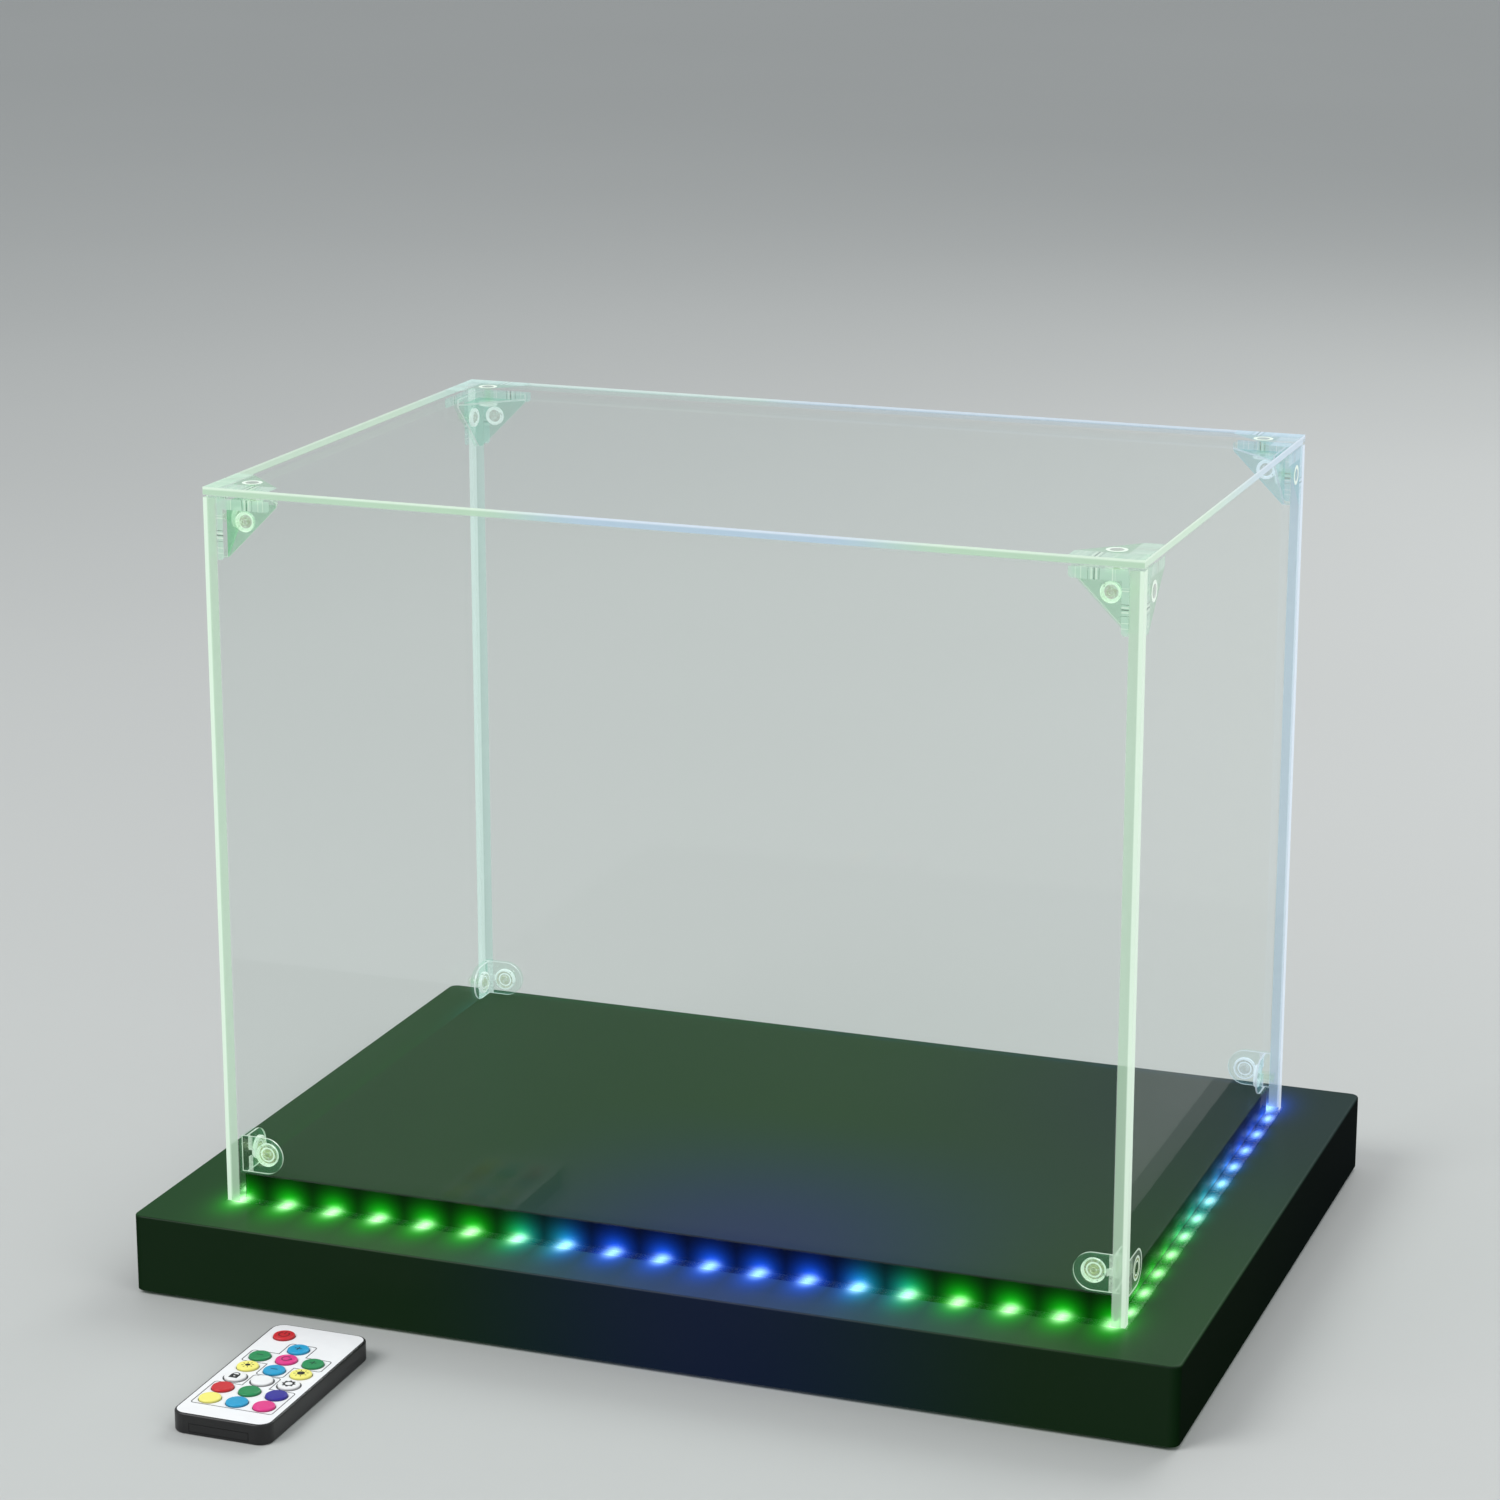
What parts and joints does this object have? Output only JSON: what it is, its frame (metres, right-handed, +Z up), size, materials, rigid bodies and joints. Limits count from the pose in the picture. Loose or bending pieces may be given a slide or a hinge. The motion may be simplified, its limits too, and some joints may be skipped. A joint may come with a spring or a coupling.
{
  "type": "football display case",
  "caption": "Clear lift-off box with corner brackets on a black base, lit by an LED channel round the plinth, with a key remote; shows a football or a like item.",
  "frame": {"origin": "middle of the rubber mat's underside, on the surface that the case stands on", "axes": "+Z up, +X to the right along the longest side, front towards -Y"},
  "size_m": [0.426, 0.4185, 0.323],
  "materials": {
    "clear_acrylic": "clear, polished edges",
    "clear_bracket": "clear moulded",
    "clear_rivet": "clear moulded",
    "black_board": "satin black lacquer on fibreboard",
    "black_plinth": "satin black lacquer on fibreboard",
    "black_plastic": "matte",
    "steel_screw": "plain steel",
    "black_rubber": "matte",
    "white_flex_board": "matte",
    "solder": "bright",
    "lit_led": "lit, green to blue along the strip",
    "clear_diffuser": "clear",
    "white_lead": "matte",
    "green_board": "solder mask",
    "dark_component": "matte",
    "tin_screen": "tinned",
    "remote_black": "fine texture",
    "remote_white": "satin",
    "grey_rubber": "matte",
    "contact_metal": "plated",
    "cell_steel": "plated",
    "key_red": "satin moulded",
    "key_cyan": "satin moulded",
    "key_green": "satin moulded",
    "key_pink": "satin moulded",
    "key_yellow": "satin moulded",
    "key_white": "satin moulded",
    "key_blue": "satin moulded"
  },
  "bodies": {
    "base": {"base_shell": "black_board", "plinth": "black_plinth", "plinth_screws": "steel_screw", "bottom_cover": "black_plastic", "bottom_cover_screws": "steel_screw", "rubber_mat": "black_rubber", "cord_gland": "black_rubber", "led_strip": "white_flex_board", "strip_links": "solder", "led_chips": "lit_led", "led_diffuser": "clear_diffuser", "strip_lead": "white_lead", "controller_board": "green_board", "controller_parts": "dark_component", "radio_receiver": "tin_screen", "board_screws": "steel_screw"},
    "cover": {"front_panel": "clear_acrylic", "back_panel": "clear_acrylic", "left_panel": "clear_acrylic", "right_panel": "clear_acrylic", "top_panel": "clear_acrylic", "upper_bracket_front_left": "clear_bracket", "upper_bracket_front_right": "clear_bracket", "upper_bracket_back_right": "clear_bracket", "upper_bracket_back_left": "clear_bracket", "lower_bracket_front_left": "clear_bracket", "lower_bracket_front_right": "clear_bracket", "lower_bracket_back_right": "clear_bracket", "lower_bracket_back_left": "clear_bracket", "upper_rivet_sleeves": "clear_rivet", "upper_rivet_pins": "clear_rivet", "lower_rivet_sleeves": "clear_rivet", "lower_rivet_pins": "clear_rivet"},
    "remote": {"remote_lower_shell": "remote_black", "remote_upper_shell": "remote_black", "remote_face": "remote_white", "remote_board": "green_board", "remote_keypad": "grey_rubber", "battery_contacts": "contact_metal"},
    "battery_drawer": {"battery_tray": "remote_black", "coin_cell": "cell_steel"},
    "cap_of_key_power": {"key_power": "key_red"},
    "cap_of_key_speed_up": {"key_speed_up": "key_cyan"},
    "cap_of_key_effect_back": {"key_effect_back": "key_green"},
    "cap_of_key_auto": {"key_auto": "key_pink"},
    "cap_of_key_effect_next": {"key_effect_next": "key_green"},
    "cap_of_key_dim": {"key_dim": "key_yellow"},
    "cap_of_key_speed_down": {"key_speed_down": "key_cyan"},
    "cap_of_key_bright": {"key_bright": "key_yellow"},
    "cap_of_key_lock": {"key_lock": "key_white"},
    "cap_of_key_white": {"key_white": "key_white"},
    "cap_of_key_settings": {"key_settings": "key_white"},
    "cap_of_key_red": {"key_red": "key_red"},
    "cap_of_key_green": {"key_green": "key_green"},
    "cap_of_key_blue": {"key_blue": "key_blue"},
    "cap_of_key_yellow": {"key_yellow": "key_yellow"},
    "cap_of_key_cyan": {"key_cyan": "key_cyan"},
    "cap_of_key_pink": {"key_pink": "key_pink"}
  },
  "joints": [
    {"name": "cover_lift", "type": "slide", "parent": "base", "child": "cover", "axis": [0, 0, 1], "range_m": [0, 0.3]},
    {"name": "remote_lift", "type": "slide", "parent": "base", "child": "remote", "axis": [0, 0, 1], "range_m": [0, 0.2]},
    {"name": "battery_tray_slide", "type": "slide", "parent": "remote", "child": "battery_drawer", "axis": [0, -1, 0], "range_m": [0, 0.03]},
    {"name": "key_power_press", "type": "slide", "parent": "remote", "child": "cap_of_key_power", "axis": [0, 0, -1], "range_m": [0, 0.0006], "stiffness_N_per_m": 1500},
    {"name": "key_speed_up_press", "type": "slide", "parent": "remote", "child": "cap_of_key_speed_up", "axis": [0, 0, -1], "range_m": [0, 0.0006], "stiffness_N_per_m": 1500},
    {"name": "key_effect_back_press", "type": "slide", "parent": "remote", "child": "cap_of_key_effect_back", "axis": [0, 0, -1], "range_m": [0, 0.0006], "stiffness_N_per_m": 1500},
    {"name": "key_auto_press", "type": "slide", "parent": "remote", "child": "cap_of_key_auto", "axis": [0, 0, -1], "range_m": [0, 0.0006], "stiffness_N_per_m": 1500},
    {"name": "key_effect_next_press", "type": "slide", "parent": "remote", "child": "cap_of_key_effect_next", "axis": [0, 0, -1], "range_m": [0, 0.0006], "stiffness_N_per_m": 1500},
    {"name": "key_dim_press", "type": "slide", "parent": "remote", "child": "cap_of_key_dim", "axis": [0, 0, -1], "range_m": [0, 0.0006], "stiffness_N_per_m": 1500},
    {"name": "key_speed_down_press", "type": "slide", "parent": "remote", "child": "cap_of_key_speed_down", "axis": [0, 0, -1], "range_m": [0, 0.0006], "stiffness_N_per_m": 1500},
    {"name": "key_bright_press", "type": "slide", "parent": "remote", "child": "cap_of_key_bright", "axis": [0, 0, -1], "range_m": [0, 0.0006], "stiffness_N_per_m": 1500},
    {"name": "key_lock_press", "type": "slide", "parent": "remote", "child": "cap_of_key_lock", "axis": [0, 0, -1], "range_m": [0, 0.0006], "stiffness_N_per_m": 1500},
    {"name": "key_white_press", "type": "slide", "parent": "remote", "child": "cap_of_key_white", "axis": [0, 0, -1], "range_m": [0, 0.0006], "stiffness_N_per_m": 1500},
    {"name": "key_settings_press", "type": "slide", "parent": "remote", "child": "cap_of_key_settings", "axis": [0, 0, -1], "range_m": [0, 0.0006], "stiffness_N_per_m": 1500},
    {"name": "key_red_press", "type": "slide", "parent": "remote", "child": "cap_of_key_red", "axis": [0, 0, -1], "range_m": [0, 0.0006], "stiffness_N_per_m": 1500},
    {"name": "key_green_press", "type": "slide", "parent": "remote", "child": "cap_of_key_green", "axis": [0, 0, -1], "range_m": [0, 0.0006], "stiffness_N_per_m": 1500},
    {"name": "key_blue_press", "type": "slide", "parent": "remote", "child": "cap_of_key_blue", "axis": [0, 0, -1], "range_m": [0, 0.0006], "stiffness_N_per_m": 1500},
    {"name": "key_yellow_press", "type": "slide", "parent": "remote", "child": "cap_of_key_yellow", "axis": [0, 0, -1], "range_m": [0, 0.0006], "stiffness_N_per_m": 1500},
    {"name": "key_cyan_press", "type": "slide", "parent": "remote", "child": "cap_of_key_cyan", "axis": [0, 0, -1], "range_m": [0, 0.0006], "stiffness_N_per_m": 1500},
    {"name": "key_pink_press", "type": "slide", "parent": "remote", "child": "cap_of_key_pink", "axis": [0, 0, -1], "range_m": [0, 0.0006], "stiffness_N_per_m": 1500}
  ]
}
